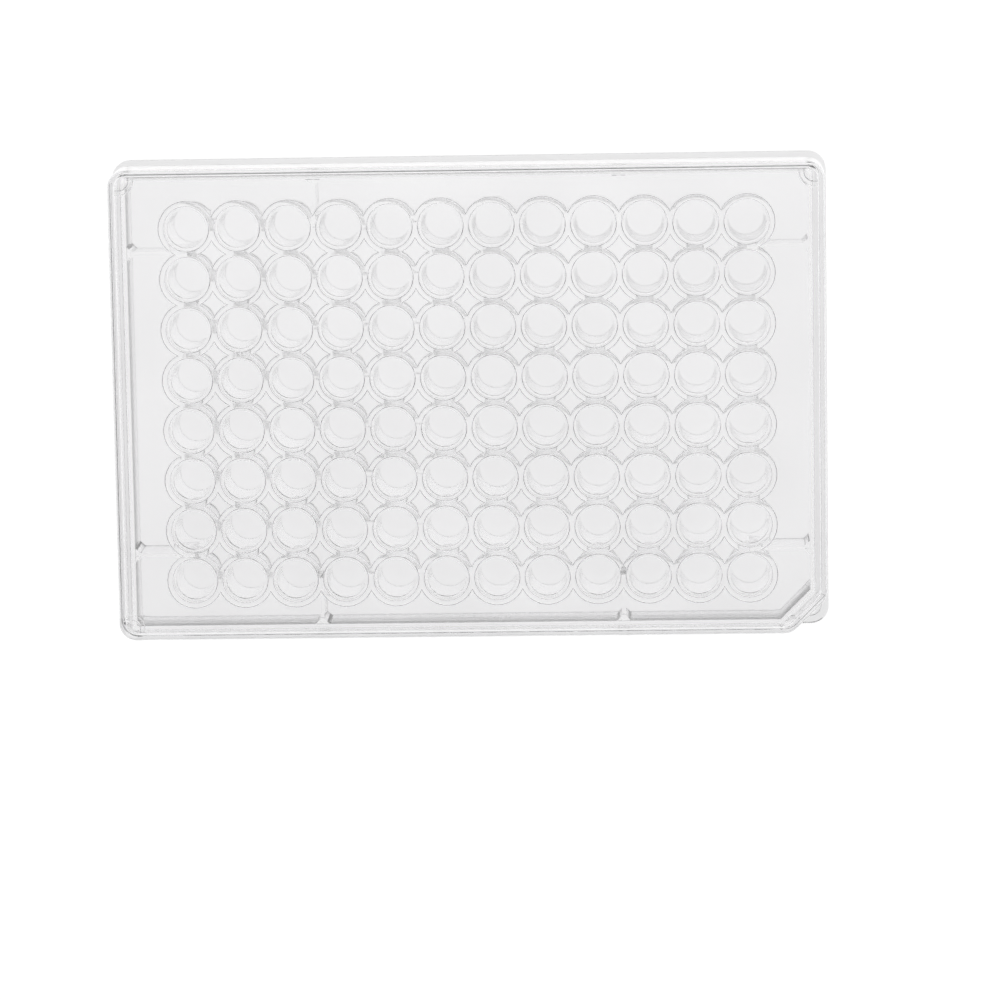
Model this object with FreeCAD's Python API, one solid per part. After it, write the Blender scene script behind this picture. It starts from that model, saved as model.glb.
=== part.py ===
"""A 96-well microplate with flat-bottomed wells, and the loose lid that rests on it.

Millimetres. +Z is up, the origin is the middle of the footprint on the surface that the
plate stands on, and well A1 is at -X, +Y, beside the cut corner of the block.
"""
import FreeCAD
import Part
import math
import os

# ---- Footprint and base flange ---------------------------------------------------------
base_length = 127.76            # along X
base_width = 85.48              # along Y
base_corner_radius = 3.18
flange_lip = 1.21               # open pocket under the ledge
flange_ledge = 1.20             # thickness of the ledge that joins the flange to the block
flange_wall = 1.30

# ---- Block: the drafted box that the wells hang in --------------------------------------
ledge_ends = 2.58               # flange edge to the foot of the block, at the short sides
ledge_sides = 1.89              # the same, at the long sides
block_draft = 1.0               # degrees
block_wall = 0.85
block_corner_radius = 0.60
hollow_corner_radius = 0.30
block_chamfer = 5.80            # leg of the cut corner beside well A1
deck_thickness = 1.20

# ---- Wells ------------------------------------------------------------------------------
well_pitch = 9.00
deck_border = 4.00              # least plain deck around the grid of wells
well_mouth_diameter = 6.86
well_floor_diameter = 6.35
well_depth = 10.67
well_wall = 0.58
well_floor = 1.27
well_foot_gap = 2.41            # underside of the wells to the surface that the plate is on

# ---- Ribs that stiffen the outer walls, under the deck ----------------------------------
rib_thickness = 0.70
rib_root = 0.90                 # flare on each side where a rib meets the wall
rib_foot_gap = 4.15             # lower edge of the ribs to the surface that the plate is on
ribs_after_column = 3           # counted from each end of the plate
ribs_after_row = 1              # counted from each side

# ---- Lid --------------------------------------------------------------------------------
lid_panel = 1.30
lid_wall = 1.05
lid_draft = 1.4                 # degrees
lid_corner_radius = 3.00
lid_edge_radius = 0.40          # rounding of the panel's outer edge
lid_foot_gap = 5.09             # flange to the lower edge of the skirt
lid_clearance_ends = 1.08       # block's top edge to the inside of the skirt, at the panel
lid_clearance_sides = 0.38
lid_clearance_cut = 1.05        # the same, at the cut corner

# ---- What hangs from the lid's panel ----------------------------------------------------
ring_inner_diameter = 8.10
ring_width = 0.87               # over half the gap between rings, so that neighbours merge
ring_drop = 0.60
ring_clearance = 0.25           # rings to the deck; the pads stand on the deck
pad_reach = 2.60                # inside of the skirt to the inside of a pad
pad_inner_radius = 1.70
pad_wall = 0.80

# ---- Worked out from the sizes above ----------------------------------------------------
flange_height = flange_lip + flange_ledge
well_floor_z = well_foot_gap + well_floor
plate_height = well_floor_z + well_depth
deck_underside = plate_height - deck_thickness
block_spread = math.tan(math.radians(block_draft))
block_top_x = base_length / 2 - ledge_ends - (plate_height - flange_height) * block_spread
block_top_y = base_width / 2 - ledge_sides - (plate_height - flange_height) * block_spread

columns = int((2 * block_top_x - 2 * deck_border) / well_pitch)
rows = int((2 * block_top_y - 2 * deck_border) / well_pitch)
last_column_x = (columns - 1) / 2 * well_pitch
first_row_y = (rows - 1) / 2 * well_pitch

ring_foot = plate_height + ring_clearance
panel_underside = ring_foot + ring_drop
lid_top = panel_underside + lid_panel
lid_foot = flange_height + lid_foot_gap
lid_spread = math.tan(math.radians(lid_draft))

UP = FreeCAD.Vector(0, 0, 1)
CUT_GROWTH = 2 - math.sqrt(2)   # growth of a 45 degree cut's leg for each unit of offset


def at(x, y, z):
    return FreeCAD.Vector(x, y, z)


def grid():
    """The (x, y) of each well's axis, row by row from A1."""
    for row in range(rows):
        for column in range(columns):
            yield column * well_pitch - last_column_x, first_row_y - row * well_pitch


def outline(half_x, half_y, radius, z, cut=0.0):
    """A rounded rectangle at height z, with the corner at -X, +Y cut off at 45 degrees if asked."""
    corners = [at(-half_x, -half_y, z), at(half_x, -half_y, z), at(half_x, half_y, z)]
    if cut > 0:
        corners.append(at(-half_x + cut, half_y, z))
        corners.append(at(-half_x, half_y - cut, z))
    else:
        corners.append(at(-half_x, half_y, z))
    rounds = []
    for place, corner in enumerate(corners):
        back = (corners[place - 1] - corner).normalize()
        ahead = (corners[(place + 1) % len(corners)] - corner).normalize()
        half_angle = back.getAngle(ahead) / 2
        reach = radius / math.tan(half_angle)
        inward = (back + ahead).normalize()
        middle = corner + inward * (radius / math.sin(half_angle) - radius)
        rounds.append((corner + back * reach, middle, corner + ahead * reach))
    edges = []
    for place, (start, middle, end) in enumerate(rounds):
        edges.append(Part.LineSegment(rounds[place - 1][2], start).toShape())
        edges.append(Part.Arc(start, middle, end).toShape())
    return Part.Wire(edges)


def drafted(low, high):
    """The solid between two outlines of the same pattern."""
    return Part.makeLoft([low, high], True, True)


def block_outline(z, inset=0.0, radius=block_corner_radius):
    """The block's outline at height z, moved inwards by inset on every side."""
    growth = (plate_height - z) * block_spread - inset
    return outline(block_top_x + growth, block_top_y + growth, radius, z,
                   block_chamfer + CUT_GROWTH * growth)


def lid_outline(z, growth=0.0):
    """The inside of the lid's skirt at height z, moved outwards by growth on every side."""
    cut = (block_chamfer + lid_clearance_ends + lid_clearance_sides
           - math.sqrt(2) * lid_clearance_cut)
    radius = max(lid_corner_radius - lid_wall, lid_edge_radius) + growth
    growth = growth + (panel_underside - z) * lid_spread
    return outline(block_top_x + lid_clearance_ends + growth,
                   block_top_y + lid_clearance_sides + growth,
                   radius, z, cut + CUT_GROWTH * growth)


def circle(x, y, z, radius):
    return Part.Circle(at(x, y, z), UP, radius).toShape()


def tapered(x, y, low, low_radius, high, high_radius):
    """A round upright solid with a drafted wall, ruled so that it stays light in facets."""
    foot = circle(x, y, low, low_radius)
    head = circle(x, y, high, high_radius)
    wall = Part.makeRuledSurface(foot, head)
    return Part.Solid(Part.Shell([wall, Part.Face(Part.Wire(foot)), Part.Face(Part.Wire(head))]))


def make_well_tubes():
    """The outsides of the wells, rooted in the middle of the deck."""
    foot_radius = well_floor_diameter / 2 + well_wall
    root_radius = well_mouth_diameter / 2 + well_wall
    root = plate_height - deck_thickness / 2
    return [tapered(x, y, well_foot_gap, foot_radius, root, root_radius) for x, y in grid()]


def make_well_bores():
    floor_radius = well_floor_diameter / 2
    mouth_radius = well_mouth_diameter / 2
    return [tapered(x, y, well_floor_z, floor_radius, plate_height, mouth_radius)
            for x, y in grid()]


def make_rib(wall_distance, reach):
    """A web from a wall at +X to the line reach, with a flared root, centred on the X axis."""
    half = rib_thickness / 2
    flared = half + rib_root
    root = wall_distance - block_wall
    corners = [(reach, -half), (root - rib_root, -half), (root, -flared), (wall_distance, -flared),
               (wall_distance, flared), (root, flared), (root - rib_root, half), (reach, half)]
    points = [at(x, y, rib_foot_gap) for x, y in corners]
    face = Part.Face(Part.makePolygon(points + points[:1]))
    return face.extrude(UP * (deck_underside - rib_foot_gap))


def make_ribs():
    """Two ribs on each side of the plate, between the outermost wells."""
    across = (columns / 2 - ribs_after_column) * well_pitch
    along = (rows / 2 - ribs_after_row) * well_pitch
    ribs = []
    for turn, wall, reach, offset in ((0, block_top_x, last_column_x, along),
                                      (90, block_top_y, first_row_y, across)):
        for half_turn in (0, 180):
            for side in (-1, 1):
                rib = make_rib(wall, reach)
                rib.translate(at(0, side * offset, 0))
                rib.rotate(at(0, 0, 0), UP, turn + half_turn)
                ribs.append(rib)
    return ribs


def make_plate():
    rim = Part.Face(outline(base_length / 2, base_width / 2, base_corner_radius, 0))
    flange = rim.extrude(UP * flange_height)
    block = drafted(block_outline(flange_lip), block_outline(plate_height))
    pocket = Part.Face(outline(base_length / 2 - flange_wall, base_width / 2 - flange_wall,
                               max(base_corner_radius - flange_wall, hollow_corner_radius), 0))
    under_ledge = pocket.extrude(UP * flange_lip)
    under_deck = drafted(block_outline(0, block_wall, hollow_corner_radius),
                         block_outline(deck_underside, block_wall, hollow_corner_radius))
    shell = flange.fuse(block).cut(under_ledge.fuse(under_deck))
    filled = shell.multiFuse(make_well_tubes() + make_ribs())
    return filled.cut(make_well_bores()).removeSplitter()


def make_pads():
    """Rounded walls across the lid's square corners, from the panel down to the deck."""
    height = lid_top - lid_panel / 2 - plate_height
    outer_reach = pad_reach + pad_wall
    outer = Part.Face(outline(outer_reach, outer_reach, pad_inner_radius + pad_wall, 0))
    inner = Part.Face(outline(pad_reach, pad_reach, pad_inner_radius, 0))
    rim = outer.cut(inner).extrude(UP * height)
    span = outer_reach + lid_wall / 2
    quarter = rim.common(Part.makeBox(span, span, height, at(-outer_reach, -outer_reach, 0)))
    pads = []
    for sign_x, sign_y, turn in ((1, 1, 0), (1, -1, -90), (-1, -1, 180)):
        pad = quarter.copy()
        pad.rotate(at(0, 0, 0), UP, turn)
        pad.translate(at(sign_x * (block_top_x + lid_clearance_ends),
                         sign_y * (block_top_y + lid_clearance_sides), plate_height))
        pads.append(pad)
    return pads


def make_rings(radius, height):
    return [Part.makeCylinder(radius, height, at(x, y, ring_foot)) for x, y in grid()]


def make_lid():
    cover = drafted(lid_outline(lid_foot, lid_wall), lid_outline(lid_top, lid_wall))
    top_face = max(cover.Faces, key=lambda face: face.CenterOfMass.z)
    cover = cover.makeFillet(lid_edge_radius, top_face.Edges)
    shell = cover.cut(drafted(lid_outline(lid_foot), lid_outline(panel_underside)))
    inner = ring_inner_diameter / 2
    network = make_rings(inner + ring_width, ring_drop + lid_panel / 2)
    filled = shell.multiFuse(network + make_pads())
    return filled.cut(make_rings(inner, ring_drop)).removeSplitter()


os.makedirs("parts", exist_ok=True)
for name, shape in (("plate", make_plate()), ("lid", make_lid())):
    shape.exportStep("parts/" + name + ".step")
    print(name, "valid" if shape.isValid() else "not valid", len(shape.Solids), round(shape.Volume, 1))
print("wells", rows, "x", columns, "plate height", round(plate_height, 3), "lid top", round(lid_top, 3))
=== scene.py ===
"""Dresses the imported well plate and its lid: clear polystyrene on a white studio floor."""
import math

import bpy
from mathutils import Matrix, Vector
from mathutils.geometry import delaunay_2d_cdt


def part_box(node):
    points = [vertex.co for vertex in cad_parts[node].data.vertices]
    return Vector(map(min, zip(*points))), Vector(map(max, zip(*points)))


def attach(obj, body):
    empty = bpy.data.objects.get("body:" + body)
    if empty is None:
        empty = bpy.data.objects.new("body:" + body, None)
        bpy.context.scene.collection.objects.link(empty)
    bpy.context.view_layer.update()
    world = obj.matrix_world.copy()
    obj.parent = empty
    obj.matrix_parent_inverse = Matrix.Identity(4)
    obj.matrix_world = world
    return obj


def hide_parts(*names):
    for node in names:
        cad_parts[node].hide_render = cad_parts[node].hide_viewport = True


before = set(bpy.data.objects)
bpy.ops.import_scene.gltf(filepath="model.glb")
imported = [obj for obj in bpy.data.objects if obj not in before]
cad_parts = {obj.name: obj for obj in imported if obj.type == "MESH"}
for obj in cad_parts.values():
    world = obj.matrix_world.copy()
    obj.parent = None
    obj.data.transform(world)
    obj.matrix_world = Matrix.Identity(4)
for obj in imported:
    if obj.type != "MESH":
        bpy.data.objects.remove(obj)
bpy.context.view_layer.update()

MM = 0.001

# ---- Sizes of the two pieces, in millimetres, as the solids have them -------------------
base_corner_radius = 3.18
flange_lip = 1.21
flange_height = 2.41
flange_wall = 1.30
ledge_ends = 2.58
ledge_sides = 1.89
block_draft = math.radians(1.0)
block_wall = 0.85
block_corner_radius = 0.60
hollow_corner_radius = 0.30
block_chamfer = 5.80
deck_thickness = 1.20

pitch = 9.00
columns = 12
rows = 8
well_mouth_radius = 3.43
well_floor_radius = 3.175
well_depth = 10.67
well_wall = 0.58
well_floor = 1.27

rib_thickness = 0.70
rib_root = 0.90
rib_foot = 4.15
ribs_after_column = 3
ribs_after_row = 1

lid_panel = 1.30
lid_wall = 1.05
lid_draft = math.radians(1.4)
lid_corner_radius = 3.00
lid_clearance_ends = 1.08
lid_clearance_sides = 0.38
lid_clearance_cut = 1.05
ring_inner_radius = 4.05
ring_outer_radius = 4.92
ring_drop = 0.60
pad_reach = 2.60
pad_inner_radius = 1.70
pad_wall = 0.80

# ---- Small rounds that moulding leaves, which only the look needs -----------------------
lid_edge_round = 0.40
skirt_round = 0.20
ring_round = 0.12
pad_round = 0.20
mouth_round = 0.02
floor_round = 0.02
tube_round = 0.02
root_round = 0.05
block_round = 0.85
edge_round = 0.20
seam = 0.02                     # from a rib to the wall, and from a pad to the deck and the skirt's round

# ---- How finely curves are drawn --------------------------------------------------------
round_steps = 3                 # in the section of a small round
ring_segments = 64
well_segments = 56
corner_segments = 8
scallop_steps = 8
sharp_angle = math.radians(40)
same_point = 1e-6               # points of a flat face that are nearer than this are one

# ---- Camera, with its places in millimetres ---------------------------------------------
camera_place = (-34.1, -103.8, 825.8)
camera_aim = (-5.2, 17.6, 14.9)
camera_turn = math.radians(-0.96)
camera_lens = 166
camera_sensor = 36

# ---- Floor, with its places in metres ---------------------------------------------------
floor_half = 4.0
floor_z = -0.02 * MM            # just under the plate, so that no two faces lie in one plane
paper_colour = (0.86, 0.86, 0.86, 1)
paper_roughness = 0.9
floor_glow = 0.64               # what makes the paper white to the camera and through plastic

# ---- Light, by the direction that it comes from -----------------------------------------
world_light = 0.20              # on the paper, all round
ceiling_light = 0.55            # what clear plastic shows of the room overhead
ceiling_shade = 0.05            # the same, leaning towards row A
ceiling_fade = (0.04, 0.20)     # between those two, in the direction's Y
window_light = 1.2              # low down, behind row H
wall_light = 0.3                # low down, in front of row A
horizon_fade = (0.3, 0.95)      # from low down to overhead, in the direction's Z
lamp_place = (-0.2, -0.9, 1.3)
lamp_size = 1.2
lamp_power = 12
light_bounces = 14              # the rays that this cuts off draw the dark line at the block's edge
see_through_bounces = 48        # for light that falls through the plastic to the paper

# ---- Plastic ----------------------------------------------------------------------------
plastic_colour = (0.998, 0.996, 1.0)
plastic_roughness = 0.02
plastic_ior = 1.45
passing_colour = (0.995, 0.995, 0.995, 1)
base_roughness = 0.25           # the flange is a little matt, and greyed by painted shade
# painted shade: darkens the flange's colour, standing in for the shadow along the plate's rim
painted_shade_grey = 0.80
base_fade = 0.30                # millimetres outwards from the block's foot
base_fade_height = 0.9          # where it starts to end upwards, as a share of the flange
flow_grey = 0.985               # faint clouds where the plastic flowed
flow_scale = 60
flow_range = (0.3, 0.7)

# ---- Heights and half widths that the frame gives ---------------------------------------
_, plate_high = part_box("plate")
lid_low, lid_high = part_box("lid")
plate_height = plate_high.z / MM
lid_top = lid_high.z / MM
lid_foot = lid_low.z / MM
base_x = plate_high.x / MM
base_y = plate_high.y / MM
panel_underside = lid_top - lid_panel
ring_foot = panel_underside - ring_drop
deck_underside = plate_height - deck_thickness
well_floor_z = plate_height - well_depth
well_foot_z = well_floor_z - well_floor
block_rise = (plate_height - flange_height) * math.tan(block_draft)
block_top_x = base_x - ledge_ends - block_rise
block_top_y = base_y - ledge_sides - block_rise
cut_growth = 2 - math.sqrt(2)


def well_centres():
    """The (x, y) of each well's axis, row by row from A1."""
    for row in range(rows):
        for column in range(columns):
            x = (column - (columns - 1) / 2) * pitch
            y = ((rows - 1) / 2 - row) * pitch
            yield x, y


CENTRES = list(well_centres())


def nearest_well(x, y):
    """Distance from a point to the nearest well's axis."""
    column = min(columns - 1, max(0, round(x / pitch + (columns - 1) / 2)))
    row = min(rows - 1, max(0, round((rows - 1) / 2 - y / pitch)))
    well_x = (column - (columns - 1) / 2) * pitch
    well_y = ((rows - 1) / 2 - row) * pitch
    return math.hypot(x - well_x, y - well_y)


def inside(outline, x, y):
    """True if the point lies within the outline."""
    odd = False
    for place, (x1, y1) in enumerate(outline):
        x0, y0 = outline[place - 1]
        if (y0 > y) != (y1 > y) and x < x0 + (y - y0) / (y1 - y0) * (x1 - x0):
            odd = not odd
    return odd


class Skin:
    """Gathers loops of points and the faces between them, and makes one closed mesh of them."""

    def __init__(self):
        self.points = []
        self.faces = []

    def loop(self, outline, z):
        """Adds an outline's points at height z, and returns their numbers."""
        first = len(self.points)
        self.points.extend((x, y, z) for x, y in outline)
        return list(range(first, len(self.points)))

    def bridge(self, one, other):
        """Quads between two loops. They face right of one's direction if other lies above it."""
        for place in range(len(one)):
            before = place - 1
            self.faces.append((one[before], one[place], other[place], other[before]))

    def chain(self, loops):
        """Bridges loops in turn. The wall faces outwards where they go up, inwards where down."""
        for one, other in zip(loops, loops[1:]):
            self.bridge(one, other)

    def hang(self, loops):
        """Bridges loops in turn. The wall faces outwards where they go down, inwards where up."""
        for one, other in zip(loops, loops[1:]):
            self.bridge(other, one)

    def cap(self, loop, up):
        self.faces.append(tuple(loop if up else reversed(loop)))

    def sheet(self, loops, keep, up):
        """A flat face bounded by loops, less the triangles whose middle keep() turns down."""
        indices = [index for loop in loops for index in loop]
        flat = [Vector(self.points[index][:2]) for index in indices]
        edges = []
        first = 0
        for loop in loops:
            count = len(loop)
            edges += [(first + place, first + (place + 1) % count) for place in range(count)]
            first += count
        made, _, triangles, origins, _, _ = delaunay_2d_cdt(flat, edges, [], 0, same_point)
        for triangle in triangles:
            middle = sum((made[corner] for corner in triangle), Vector((0, 0))) / 3
            if keep(middle.x, middle.y):
                corners = [indices[origins[corner][0]] for corner in triangle]
                a, b, c = (made[corner] for corner in triangle)
                turns_up = (b - a).cross(c - a) > 0
                self.faces.append(tuple(corners if turns_up == up else reversed(corners)))

    def build(self, name):
        mesh = bpy.data.meshes.new(name)
        points = [(x * MM, y * MM, z * MM) for x, y, z in self.points]
        mesh.from_pydata(points, [], self.faces)
        mesh.validate()
        mesh.polygons.foreach_set("use_smooth", [True] * len(mesh.polygons))
        mesh.set_sharp_from_angle(angle=sharp_angle)
        piece = bpy.data.objects.new(name, mesh)
        bpy.context.scene.collection.objects.link(piece)
        weighted = piece.modifiers.new("even_flats", "WEIGHTED_NORMAL")
        weighted.keep_sharp = True
        return piece


# ---- Outlines, all anticlockwise seen from above ----------------------------------------

def rounded(half_x, half_y, radius, cut=0.0):
    """A rounded rectangle, with the corner at -X, +Y cut at 45 degrees if asked."""
    corners = [Vector((-half_x, -half_y)), Vector((half_x, -half_y)), Vector((half_x, half_y))]
    if cut > 0:
        corners += [Vector((-half_x + cut, half_y)), Vector((-half_x, half_y - cut))]
    else:
        corners += [Vector((-half_x, half_y))]
    outline = []
    for place, corner in enumerate(corners):
        back = (corners[place - 1] - corner).normalized()
        ahead = (corners[(place + 1) % len(corners)] - corner).normalized()
        half_angle = back.angle(ahead) / 2
        middle = corner + (back + ahead).normalized() * radius / math.sin(half_angle)
        spoke = corner + back * radius / math.tan(half_angle) - middle
        start = math.atan2(spoke.y, spoke.x)
        sweep = math.pi - 2 * half_angle
        outline += arc(middle.x, middle.y, radius, start, start + sweep, corner_segments)
    return outline


def arc(x, y, radius, start, end, steps):
    angles = [start + (end - start) * step / steps for step in range(steps + 1)]
    return [(x + radius * math.cos(angle), y + radius * math.sin(angle)) for angle in angles]


def circle(x, y, radius, segments):
    return arc(x, y, radius, 0, math.tau, segments)[:-1]


def turn_point(x, y, quarter_turns):
    for _ in range(quarter_turns):
        x, y = -y, x
    return x, y


def merge_angle(radius):
    """Where a circle about a well crosses the one about the next well, from the line between."""
    return math.acos(pitch / 2 / radius)


def diamond(x, y, radius):
    """The space left between four circles about wells, whose middle is (x, y)."""
    tip = merge_angle(radius)
    outline = []
    for quadrant in range(4):
        turn = math.pi / 2 * quadrant
        corner_x = x + pitch / math.sqrt(2) * math.cos(turn + math.pi / 4)
        corner_y = y + pitch / math.sqrt(2) * math.sin(turn + math.pi / 4)
        start = turn + math.pi * 1.5 - tip
        end = turn + math.pi + tip
        outline += arc(corner_x, corner_y, radius, start, end, scallop_steps)[:-1]
    return outline


def scallops(radius):
    """The outer edge of the circles about all the wells together."""
    tip = merge_angle(radius)
    left = -(columns - 1) / 2 * pitch
    low = -(rows - 1) / 2 * pitch
    # The outermost wells in turn, each with the side that faces out. A corner comes twice, and
    # the arc is drawn at the first of the two, round both of its sides.
    edge = [(left + step * pitch, low, 270) for step in range(columns)]
    edge += [(-left, low + step * pitch, 0) for step in range(rows)]
    edge += [(-left - step * pitch, -low, 90) for step in range(columns)]
    edge += [(left, -low - step * pitch, 180) for step in range(rows)]
    outline = []
    for place, (x, y, facing) in enumerate(edge):
        if edge[place - 1][:2] == (x, y):
            continue
        is_corner = edge[(place + 1) % len(edge)][:2] == (x, y)
        start = math.radians(facing - 90) + tip
        end = math.radians(facing + (180 if is_corner else 90)) - tip
        steps = scallop_steps * (4 if is_corner else 2)
        outline += arc(x, y, radius, start, end, steps)[:-1]
    return outline


def diamond_centres():
    """The (x, y) midway between each four wells."""
    for row in range(rows - 1):
        for column in range(columns - 1):
            yield (column + 1 - columns / 2) * pitch, (rows / 2 - 1 - row) * pitch


def rounding(radius):
    """(inset, drop) pairs from a flat face, over its rounded edge, to the wall below."""
    angles = [math.pi / 2 * step / round_steps for step in range(round_steps + 1)]
    return [(radius * (1 - math.sin(angle)), radius * (1 - math.cos(angle))) for angle in angles]


# ---- The lid ----------------------------------------------------------------------------

def lid_inside(z, growth=0.0):
    """The inside of the skirt at height z, moved outwards by growth."""
    cut = (block_chamfer + lid_clearance_ends + lid_clearance_sides
           - math.sqrt(2) * lid_clearance_cut)
    radius = lid_corner_radius - lid_wall + growth
    growth = growth + (panel_underside - z) * math.tan(lid_draft)
    return rounded(block_top_x + lid_clearance_ends + growth,
                   block_top_y + lid_clearance_sides + growth,
                   radius, cut + cut_growth * growth)


def lid_shell(skin):
    """The panel's top, the skirt outside and inside, and the edge of the panel's underside."""
    loops = []
    for inset, drop in rounding(lid_edge_round):
        z = lid_top - drop
        loops.append(skin.loop(lid_inside(z, lid_wall - inset), z))
    for inset, rise in reversed(rounding(skirt_round)):
        z = lid_foot + rise
        loops.append(skin.loop(lid_inside(z, lid_wall - inset), z))
    for inset, rise in rounding(skirt_round):
        z = lid_foot + rise
        loops.append(skin.loop(lid_inside(z, inset), z))
    for inset, drop in reversed(rounding(edge_round)):
        z = panel_underside - drop
        loops.append(skin.loop(lid_inside(z, -inset), z))
    skin.cap(loops[0], up=True)
    skin.hang(loops)
    return loops[-1]


def ring_wall(skin, outline):
    """The loops of a wall of the rings, from its foot up. outline(inset) draws one of them."""
    loops = []
    for inset, rise in rounding(ring_round):
        loops.append(skin.loop(outline(inset), ring_foot + rise))
    for inset, drop in reversed(rounding(ring_round)):
        loops.append(skin.loop(outline(-inset), panel_underside - drop))
    return loops


def ring_network(skin):
    """The rings under the panel, merged into one network. Returns the network's outer edge."""
    inner_land = ring_inner_radius + ring_round
    outer_land = ring_outer_radius - ring_round
    holes = []
    for x, y in CENTRES:
        holes.append(ring_wall(
            skin, lambda inset: circle(x, y, ring_inner_radius + inset, ring_segments)))
    for x, y in diamond_centres():
        holes.append(ring_wall(skin, lambda inset: diamond(x, y, ring_outer_radius - inset)))
    for loops in holes:
        skin.chain([loop[::-1] for loop in loops])
        skin.cap(loops[-1], up=False)
    rim = ring_wall(skin, lambda inset: scallops(ring_outer_radius - inset))
    skin.chain(rim)
    skin.sheet([rim[0]] + [loops[0] for loops in holes],
               lambda x, y: inner_land < nearest_well(x, y) < outer_land, up=False)
    return rim[-1]


def pad_outlines(inset=0.0):
    """Rounded walls across the skirt's inside corners, all but the cut one."""
    far = pad_reach + pad_wall - inset
    near = pad_reach + inset
    far_radius = pad_inner_radius + pad_wall - inset
    near_radius = pad_inner_radius + inset
    end = -edge_round - seam
    steps = corner_segments * 2
    outline = [(-far, end)]
    outline += arc(far_radius - far, far_radius - far, far_radius, math.pi, math.pi * 1.5, steps)
    outline += [(end, -far), (end, -near)]
    outline += arc(near_radius - near, near_radius - near, near_radius, math.pi * 1.5, math.pi,
                   steps)
    outline += [(-near, end)]
    for sign_x, sign_y, quarter_turns in ((1, 1, 0), (1, -1, 3), (-1, -1, 2)):
        corner_x = sign_x * (block_top_x + lid_clearance_ends)
        corner_y = sign_y * (block_top_y + lid_clearance_sides)
        turned = [turn_point(x, y, quarter_turns) for x, y in outline]
        yield [(corner_x + x, corner_y + y) for x, y in turned]


def corner_pads(skin):
    """The pads that keep the lid off the deck. Returns the loops where they leave the panel."""
    levels = [(inset, plate_height + seam + rise) for inset, rise in rounding(pad_round)]
    levels += [(-inset, panel_underside - drop) for inset, drop in reversed(rounding(pad_round))]
    pads = [[skin.loop(outline, z) for outline in pad_outlines(inset)] for inset, z in levels]
    for loops in zip(*pads):
        skin.chain(loops)
        skin.cap(loops[0], up=False)
    return pads[-1]


def make_lid():
    skin = Skin()
    panel_edge = lid_shell(skin)
    network_edge = ring_network(skin)
    pad_roots = corner_pads(skin)
    gaps = [scallops(ring_outer_radius + ring_round)] + list(pad_outlines(-pad_round))
    skin.sheet([panel_edge, network_edge] + pad_roots,
               lambda x, y: not any(inside(gap, x, y) for gap in gaps), up=False)
    return skin.build("lid_clear")


# ---- The plate --------------------------------------------------------------------------

def block_outline(z, inset=0.0, radius=block_corner_radius):
    """The block's outline at height z, moved inwards by inset."""
    growth = (plate_height - z) * math.tan(block_draft) - inset
    return rounded(block_top_x + growth, block_top_y + growth, radius,
                   block_chamfer + cut_growth * growth)


def flange_outline(inset=0.0):
    return rounded(base_x - inset, base_y - inset, base_corner_radius - inset)


def plate_shell(skin):
    """The block and flange outside and the hollow inside. Returns the deck's two edges."""
    outside = []
    for inset, drop in rounding(block_round):
        z = plate_height - drop
        outside.append(skin.loop(block_outline(z, inset), z))
    for inset, rise in reversed(rounding(edge_round)):
        z = flange_height + rise
        outside.append(skin.loop(block_outline(z, -inset), z))
    skin.hang(outside)

    flange = []
    for inset, drop in rounding(edge_round):
        flange.append(skin.loop(flange_outline(inset), flange_height - drop))
    for inset, rise in reversed(rounding(edge_round)):
        flange.append(skin.loop(flange_outline(inset), rise))
    for inset, rise in rounding(edge_round):
        flange.append(skin.loop(flange_outline(flange_wall - inset), rise))
    flange.append(skin.loop(flange_outline(flange_wall), flange_lip))
    skin.hang(flange)

    foot_of_block = block_outline(flange_height, -edge_round)
    skin.sheet([flange[0], outside[-1]], lambda x, y: not inside(foot_of_block, x, y), up=True)

    hollow = []
    for z in (flange_lip, deck_underside):
        hollow.append(skin.loop(block_outline(z, block_wall, hollow_corner_radius), z))
    skin.bridge(hollow[1], hollow[0])
    mouth_of_hollow = block_outline(flange_lip, block_wall, hollow_corner_radius)
    skin.sheet([flange[-1], hollow[0]], lambda x, y: not inside(mouth_of_hollow, x, y), up=False)
    return outside[0], hollow[1]


def bore_radius(z):
    """The inside of a well, whose draft runs from its floor to its mouth."""
    slope = (well_mouth_radius - well_floor_radius) / well_depth
    return well_floor_radius + slope * (z - well_floor_z)


def tube_radius(z):
    """The outside of a well, whose draft runs from its foot to the middle of the deck."""
    rise = plate_height - deck_thickness / 2 - well_foot_z
    slope = (well_mouth_radius - well_floor_radius) / rise
    return well_floor_radius + well_wall + slope * (z - well_foot_z)


def wells(skin):
    """The bores in the deck and the tubes under it. Returns the loops where they leave the deck."""
    mouths = []
    roots = []
    for x, y in CENTRES:
        bore = []
        for inset, drop in rounding(mouth_round):
            z = plate_height - drop
            bore.append(skin.loop(circle(x, y, bore_radius(z) + inset, well_segments), z))
        for inset, rise in reversed(rounding(floor_round)):
            z = well_floor_z + rise
            bore.append(skin.loop(circle(x, y, bore_radius(z) - inset, well_segments), z))
        mouths.append(bore[0])
        skin.chain(bore)
        skin.cap(bore[-1], up=True)

        tube = []
        for inset, drop in rounding(root_round):
            z = deck_underside - drop
            tube.append(skin.loop(circle(x, y, tube_radius(z) + inset, well_segments), z))
        for inset, rise in reversed(rounding(tube_round)):
            z = well_foot_z + rise
            tube.append(skin.loop(circle(x, y, tube_radius(z) - inset, well_segments), z))
        roots.append(tube[0])
        skin.hang(tube)
        skin.cap(tube[-1], up=False)
    return mouths, roots


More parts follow.
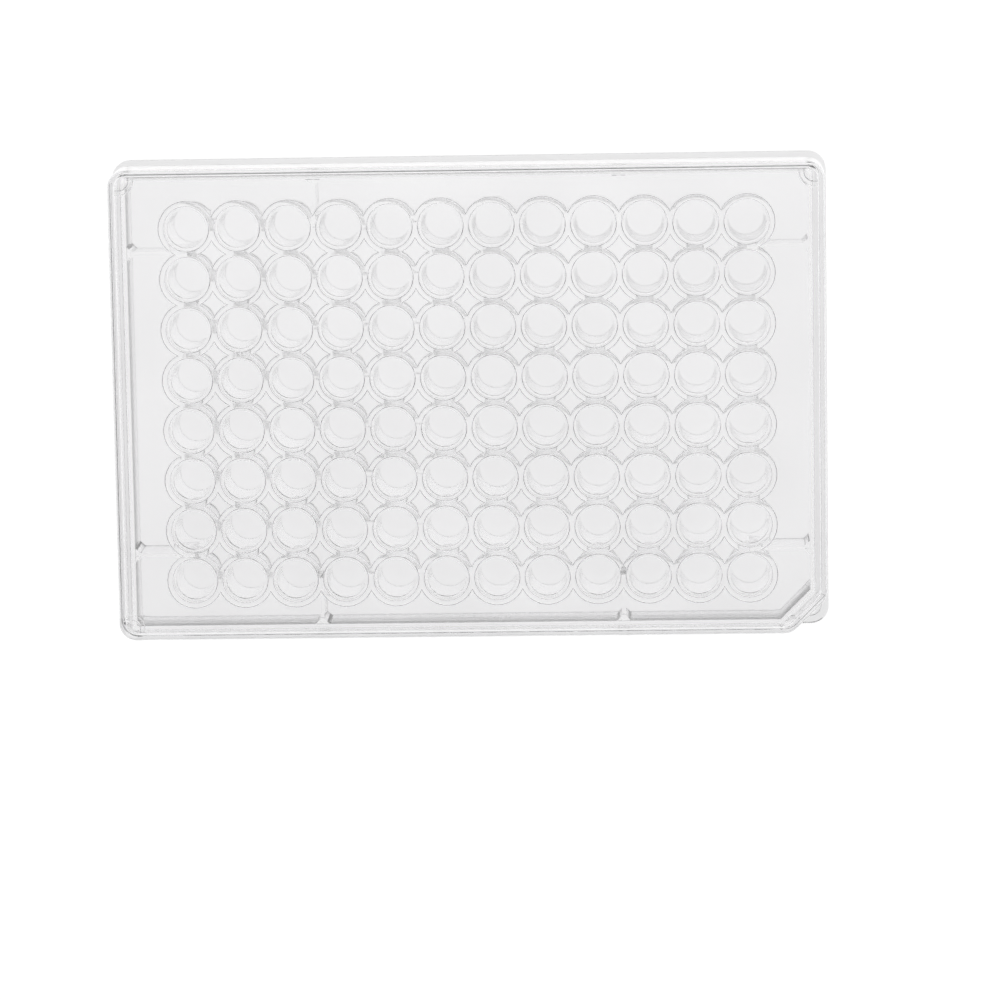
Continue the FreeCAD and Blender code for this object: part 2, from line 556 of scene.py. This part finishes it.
def rib_outlines():
    """Webs under the deck, from the outer walls in between the outermost wells."""
    across = (columns / 2 - ribs_after_column) * pitch
    along = (rows / 2 - ribs_after_row) * pitch
    half = rib_thickness / 2
    flared = half + rib_root
    for turn, wall, reach, offset in ((0, block_top_x, (columns - 1) / 2 * pitch, along),
                                      (1, block_top_y, (rows - 1) / 2 * pitch, across)):
        for quarter_turns in (turn, turn + 2):
            for middle in (-offset, offset):
                root = wall - block_wall - seam
                outline = [(reach, middle + half), (reach, middle - half),
                           (root - rib_root, middle - half), (root, middle - flared),
                           (root, middle + flared), (root - rib_root, middle + half)]
                yield [turn_point(x, y, quarter_turns) for x, y in outline]


def ribs(skin):
    """Returns the loops where the ribs leave the deck."""
    roots = []
    for outline in rib_outlines():
        foot = skin.loop(outline, rib_foot)
        root = skin.loop(outline, deck_underside)
        skin.bridge(foot, root)
        skin.cap(foot, up=False)
        roots.append(root)
    return roots


def make_plate():
    skin = Skin()
    deck_edge, hollow_edge = plate_shell(skin)
    mouths, tube_roots = wells(skin)
    rib_roots = ribs(skin)
    flat = math.cos(math.pi / well_segments)
    mouth_edge = (well_mouth_radius + mouth_round) * flat
    tube_edge = (tube_radius(deck_underside) + root_round) * flat
    webs = list(rib_outlines())
    skin.sheet([deck_edge] + mouths, lambda x, y: nearest_well(x, y) > mouth_edge, up=True)
    skin.sheet([hollow_edge] + tube_roots + rib_roots,
               lambda x, y: nearest_well(x, y) > tube_edge
               and not any(inside(web, x, y) for web in webs), up=False)
    return skin.build("plate_clear")


# ---- Materials --------------------------------------------------------------------------

def ramp(nodes, links, source, start, end, first, last):
    """A value that eases from first to last as source goes from start to end."""
    node = nodes.new("ShaderNodeMapRange")
    node.interpolation_type = "SMOOTHSTEP"
    for name, value in (("From Min", start), ("From Max", end),
                        ("To Min", first), ("To Max", last)):
        if isinstance(value, float):
            node.inputs[name].default_value = value
        else:
            links.new(value, node.inputs[name])
    links.new(source, node.inputs["Value"])
    return node.outputs["Result"]


def apply(nodes, links, operation, *values):
    """The result of a sum, product, absolute value or the like of sockets and numbers."""
    node = nodes.new("ShaderNodeMath")
    node.operation = operation
    for place, value in enumerate(values):
        if isinstance(value, float):
            node.inputs[place].default_value = value
        else:
            links.new(value, node.inputs[place])
    return node.outputs["Value"]


def flange_mask(nodes, links, place):
    """1 in the flange outside the block's foot, 0 everywhere else."""
    split = nodes.new("ShaderNodeSeparateXYZ")
    links.new(place, split.inputs["Vector"])
    beyond = []
    for axis, foot in (("X", base_x - ledge_ends), ("Y", base_y - ledge_sides)):
        distance = apply(nodes, links, "ABSOLUTE", split.outputs[axis])
        beyond.append(apply(nodes, links, "SUBTRACT", distance, foot * MM))
    farthest = apply(nodes, links, "MAXIMUM", *beyond)
    outside = ramp(nodes, links, farthest, 0.0, base_fade * MM, 0.0, 1.0)
    top = flange_height * MM
    low = ramp(nodes, links, split.outputs["Z"], base_fade_height * top, top, 1.0, 0.0)
    return apply(nodes, links, "MULTIPLY", outside, low)


def clear_polystyrene(name, has_flange):
    """Clear plastic with faint clouds, and with a matt flange greyed by painted shade if it has one.

    Light falls through it onto the paper as if it were not there.
    """
    material = bpy.data.materials.new(name)
    material.use_nodes = True
    nodes = material.node_tree.nodes
    links = material.node_tree.links
    shader = nodes["Principled BSDF"]
    shader.inputs["Roughness"].default_value = plastic_roughness
    shader.inputs["IOR"].default_value = plastic_ior
    shader.inputs["Transmission Weight"].default_value = 1.0
    place = nodes.new("ShaderNodeTexCoord")
    flow = nodes.new("ShaderNodeTexNoise")
    flow.inputs["Scale"].default_value = flow_scale
    flow.inputs["Detail"].default_value = 0
    links.new(place.outputs["Object"], flow.inputs["Vector"])
    shade = ramp(nodes, links, flow.outputs["Fac"], *flow_range, flow_grey, 1.0)
    if has_flange:
        flange = flange_mask(nodes, links, place.outputs["Object"])
        matt = ramp(nodes, links, flange, 0.0, 1.0, plastic_roughness, base_roughness)
        links.new(matt, shader.inputs["Roughness"])
        # painted shade: the flange's colour is greyed, standing in for the shadow along the plate's rim
        grey = ramp(nodes, links, flange, 0.0, 1.0, 1.0, painted_shade_grey)
        shade = apply(nodes, links, "MULTIPLY", grey, shade)
    tint = nodes.new("ShaderNodeVectorMath")
    tint.operation = "SCALE"
    tint.inputs[0].default_value = plastic_colour
    links.new(shade, tint.inputs["Scale"])
    links.new(tint.outputs["Vector"], shader.inputs["Base Color"])
    passing = nodes.new("ShaderNodeBsdfTransparent")
    passing.inputs["Color"].default_value = passing_colour
    ray = nodes.new("ShaderNodeLightPath")
    mix = nodes.new("ShaderNodeMixShader")
    links.new(ray.outputs["Is Shadow Ray"], mix.inputs["Fac"])
    links.new(shader.outputs["BSDF"], mix.inputs[1])
    links.new(passing.outputs["BSDF"], mix.inputs[2])
    links.new(mix.outputs["Shader"], nodes["Material Output"].inputs["Surface"])
    return material


def dress(piece, node, material):
    piece.data.materials.append(material)
    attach(piece, "root")
    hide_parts(node)


dress(make_plate(), "plate", clear_polystyrene("plate_plastic", has_flange=True))
dress(make_lid(), "lid", clear_polystyrene("lid_plastic", has_flange=False))


# ---- Studio -----------------------------------------------------------------------------

def make_floor():
    """Matt paper, which also glows just as much as it takes to be white where it is seen."""
    corners = [(floor_half * x, floor_half * y, floor_z)
               for x, y in ((-1, -1), (1, -1), (1, 1), (-1, 1))]
    mesh = bpy.data.meshes.new("floor")
    mesh.from_pydata(corners, [], [(0, 1, 2, 3)])
    floor = bpy.data.objects.new("floor", mesh)
    bpy.context.scene.collection.objects.link(floor)
    material = bpy.data.materials.new("floor_white")
    material.use_nodes = True
    nodes = material.node_tree.nodes
    links = material.node_tree.links
    paper = nodes["Principled BSDF"]
    paper.inputs["Base Color"].default_value = paper_colour
    paper.inputs["Roughness"].default_value = paper_roughness
    paper.inputs["Specular IOR Level"].default_value = 0.0
    ray = nodes.new("ShaderNodeLightPath")
    seen = ray.outputs["Is Camera Ray"]
    for kind in ("Is Glossy Ray", "Is Transmission Ray"):
        seen = apply(nodes, links, "MAXIMUM", seen, ray.outputs[kind])
    glow = nodes.new("ShaderNodeEmission")
    glow.inputs["Color"].default_value = (1, 1, 1, 1)
    links.new(apply(nodes, links, "MULTIPLY", seen, floor_glow), glow.inputs["Strength"])
    add = nodes.new("ShaderNodeAddShader")
    links.new(paper.outputs["BSDF"], add.inputs[0])
    links.new(glow.outputs["Emission"], add.inputs[1])
    links.new(add.outputs["Shader"], nodes["Material Output"].inputs["Surface"])
    mesh.materials.append(material)


def make_world():
    """White to the camera, and even to the paper. Clear plastic shows a room with a window."""
    world = bpy.data.worlds.new("studio")
    bpy.context.scene.world = world
    world.use_nodes = True
    nodes = world.node_tree.nodes
    links = world.node_tree.links
    nodes.clear()
    direction = nodes.new("ShaderNodeTexCoord")
    split = nodes.new("ShaderNodeSeparateXYZ")
    links.new(direction.outputs["Generated"], split.inputs["Vector"])
    around = ramp(nodes, links, split.outputs["Y"], -1.0, 1.0, window_light, wall_light)
    overhead = ramp(nodes, links, split.outputs["Y"], *ceiling_fade, ceiling_light, ceiling_shade)
    strength = ramp(nodes, links, split.outputs["Z"], *horizon_fade, around, overhead)
    room = nodes.new("ShaderNodeBackground")
    white = nodes.new("ShaderNodeBackground")
    soft = nodes.new("ShaderNodeBackground")
    white.inputs["Strength"].default_value = 1.0
    soft.inputs["Strength"].default_value = world_light
    for shade in (white, soft, room):
        shade.inputs["Color"].default_value = (1, 1, 1, 1)
    ray = nodes.new("ShaderNodeLightPath")
    lit = nodes.new("ShaderNodeMixShader")
    seen = nodes.new("ShaderNodeMixShader")
    output = nodes.new("ShaderNodeOutputWorld")
    links.new(strength, room.inputs["Strength"])
    links.new(ray.outputs["Is Diffuse Ray"], lit.inputs["Fac"])
    links.new(room.outputs["Background"], lit.inputs[1])
    links.new(soft.outputs["Background"], lit.inputs[2])
    links.new(ray.outputs["Is Camera Ray"], seen.inputs["Fac"])
    links.new(lit.outputs["Shader"], seen.inputs[1])
    links.new(white.outputs["Background"], seen.inputs[2])
    links.new(seen.outputs["Shader"], output.inputs["Surface"])


def make_lamp():
    """A soft lamp over the plate, which the plastic doesn't show."""
    lamp = bpy.data.lights.new("softbox", "AREA")
    lamp.shape = "SQUARE"
    lamp.size = lamp_size
    lamp.energy = lamp_power
    holder = bpy.data.objects.new("softbox", lamp)
    holder.location = lamp_place
    holder.rotation_euler = (-Vector(lamp_place)).to_track_quat("-Z", "Y").to_euler()
    holder.visible_glossy = False
    holder.visible_transmission = False
    bpy.context.scene.collection.objects.link(holder)


def make_camera():
    """Looks almost straight down, with row A at the bottom of the picture and A1 on the right."""
    camera = bpy.data.cameras.new("camera")
    camera.lens = camera_lens
    camera.sensor_width = camera_sensor
    holder = bpy.data.objects.new("camera", camera)
    bpy.context.scene.collection.objects.link(holder)
    place = Vector(camera_place) * MM
    ahead = (Vector(camera_aim) * MM - place).normalized()
    top = Vector((math.sin(camera_turn), -math.cos(camera_turn), 0))
    right = ahead.cross(top).normalized()
    up = right.cross(ahead)
    holder.matrix_world = Matrix((
        (right.x, up.x, -ahead.x, place.x),
        (right.y, up.y, -ahead.y, place.y),
        (right.z, up.z, -ahead.z, place.z),
        (0, 0, 0, 1)))
    bpy.context.scene.camera = holder


make_floor()
make_world()
make_lamp()
make_camera()
bpy.context.scene.view_settings.view_transform = "Standard"
cycles = bpy.context.scene.cycles
cycles.max_bounces = light_bounces
cycles.transmission_bounces = light_bounces
cycles.glossy_bounces = light_bounces
cycles.diffuse_bounces = 0
cycles.transparent_max_bounces = see_through_bounces
